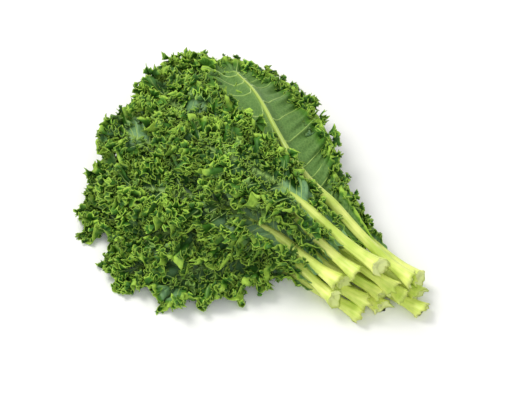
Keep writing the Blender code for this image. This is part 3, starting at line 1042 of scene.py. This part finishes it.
def joined(name, meshes):
    """One object from several plain meshes, each with its own finishes."""
    parts = []
    for mesh in meshes:
        part = bpy.data.objects.new(name, mesh)
        bpy.context.scene.collection.objects.link(part)
        parts.append(part)
    with bpy.context.temp_override(active_object=parts[0], selected_editable_objects=parts, object=parts[0]):
        bpy.ops.object.join()
    return parts[0]


print("petals are", PETAL_SIZES["Petal size"], "mm, set", PETAL_SIZES["Petal spacing"], "mm apart")

# %% Build the blades
for number, leaf in enumerate(LEAVES, 1):
    flat = sheet(leaf, number)
    frilled, veined = grow(leaf, number, flat.copy(), False), grow(leaf, number, flat, True)
    piece = joined("frilled_blade_" + leaf[5:], [frilled, veined])
    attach(piece, "root")
    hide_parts(leaf + "_blade")
    print(piece.name, len(piece.data.polygons), "faces", [m.name for m in piece.data.materials])
for shape in list(petals.objects):
    bpy.data.objects.remove(shape)
bpy.data.collections.remove(petals)

# %% [markdown]
# ## The stalks
#
# A kale stalk is rounded below and flatter above, with low ridges that run its whole length. It was
# snapped off, so it flares at the end and the break is uneven, with a pale fibrous core. Each is
# lofted along its measured line, ring by ring, which lets the ridges and the break be shaped.

# %% Loft the rings of a stalk
ROUND = 28
RING_STEP = 3.0
RIDGES = 7
SQUARENESS = 2.7
ANGLES = np.linspace(0, 2 * math.pi, ROUND, endpoint=False)


def section(phase):
    """Radius of the section round its ring: a soft square with ridges, and flatter on top."""
    quarter = ANGLES + phase
    corners = np.abs(np.cos(quarter)) ** SQUARENESS + np.abs(np.sin(quarter)) ** SQUARENESS
    ridge = 0.97 + 0.06 * np.abs(np.sin(RIDGES / 2 * ANGLES))
    flat_top = 1 - 0.1 * np.clip(np.sin(ANGLES), 0, 1) ** 4
    return 0.96 / corners ** (1 / SQUARENESS) * ridge * flat_top


def stalk(leaf, number):
    """The rings of a stalk, how far along it each lies, its middle, and the way it faces."""
    line = stalk_line(leaf)
    length = np.linalg.norm(np.diff(line[:, :3], axis=0), axis=1).sum()
    rings, run = resampled(line, int(length / RING_STEP))
    phase = np.random.default_rng(number).uniform(0, 2 * math.pi)
    forward = np.gradient(rings[:, :3], axis=0)
    forward /= np.linalg.norm(forward, axis=1, keepdims=True)
    side = np.cross(forward, (0, 0, 1))
    side /= np.linalg.norm(side, axis=1, keepdims=True)
    up = np.cross(side, forward)
    slim = np.interp(run / run[-1], (0.35, 0.55, 1), (1, 0.8, 0.55))
    radius = (rings[:, 3] * slim)[:, None] * section(phase)[None, :]
    points = (
        rings[:, None, :3]
        + side[:, None] * (np.cos(ANGLES) * radius)[..., None]
        + up[:, None] * (np.sin(ANGLES) * radius)[..., None]
    )
    return points, run, rings[:, :3], forward


print("a stalk has", ROUND, "points round it and", RIDGES, "ridges")

# %% Break the end of a stalk
FLARE_AT, FLARE = (0, 6, 22), (1.42, 1.2, 1.0)
CORE = ((0.84, 1.2, 0.4), (0.5, 3.2, 0.7), (0.2, 3.6, 0.7))
STRIPS = 4
FLOOR_GAP = 0.15


def broken(points, run, middle, forward, chance):
    """The rings flared at the break and torn back unevenly, with the rings of the core before them."""
    ragged = chance.normal(0, 0.9, ROUND)
    ragged = ragged + chance.uniform(2.5, 6.5) * np.cos(ANGLES - chance.uniform(0, 6.28))
    for place in chance.integers(1, ROUND, STRIPS):
        strip = chance.uniform(1.5, 4.5)
        ragged[place - 1 : place + 1] -= (strip * 0.6, strip)
    points = middle[:, None] + (points - middle[:, None]) * np.interp(run, FLARE_AT, FLARE)[:, None, None]
    core = []
    for inset, sink, rough in CORE:
        ring = middle[0] + (points[0] - middle[0]) * inset
        torn = sink + ragged * inset * 0.7 + chance.normal(0, rough, ROUND)
        core.append(ring + forward[0] * torn[:, None])
    points[0] += forward[0] * ragged[:, None]
    points[1] += forward[0] * ragged[:, None] * 0.4
    return np.concatenate([np.array(core[::-1]), points])


print("a break tears", STRIPS, "strips")


# %% Close a stalk and keep its measures
def tube_faces(count):
    """Quads between one ring and the next, and a fan to a middle point at each end."""
    index = np.arange(count * ROUND).reshape(count, ROUND)
    after = np.roll(index, -1, axis=1)
    faces = np.stack([index[:-1], after[:-1], after[1:], index[1:]], -1).reshape(-1, 4).tolist()
    first, last = count * ROUND, count * ROUND + 1
    faces += [[after[0, k], index[0, k], first] for k in range(ROUND)]
    faces += [[index[-1, k], after[-1, k], last] for k in range(ROUND)]
    return faces


def stalk_piece(leaf, number):
    points, run, middle, forward = stalk(leaf, number)
    rings = broken(points, run, middle, forward, np.random.default_rng(number + 100))
    ends = [[middle[0] + forward[0] * 0.8], [middle[-1] + forward[-1]]]
    vertices = np.concatenate([rings.reshape(-1, 3), *ends])
    vertices[:, 2] = np.maximum(vertices[:, 2], FLOOR_GAP)
    mesh = bpy.data.meshes.new("stalk_" + leaf[5:])
    mesh.from_pydata((vertices * MM).tolist(), [], tube_faces(len(rings)))
    core = len(CORE)
    lengthwise = np.concatenate([np.arange(-core, 0), run])
    is_core = np.concatenate([np.ones(core), np.zeros(len(run))])
    store(mesh, {
        "up": np.append(np.repeat(lengthwise.clip(0) / run[-1], ROUND), [0, 1]),
        "run": np.append(np.repeat(lengthwise, ROUND), [0, run[-1]]) / 40,
        "round": np.append(np.tile(np.abs(ANGLES - math.pi) * 2.2, len(rings)), [0, 0]),
        "cut": np.append(np.repeat(is_core, ROUND), [1, 0]),
    })
    mesh.materials.append(moist_stalk)
    mesh.shade_smooth()
    piece = bpy.data.objects.new("stalk_" + leaf[5:], mesh)
    bpy.context.scene.collection.objects.link(piece)
    return piece


for number, leaf in enumerate(LEAVES, 1):
    piece = stalk_piece(leaf, number)
    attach(piece, "root")
    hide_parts(leaf + "_stalk")
    print(piece.name, len(piece.data.polygons), "faces")
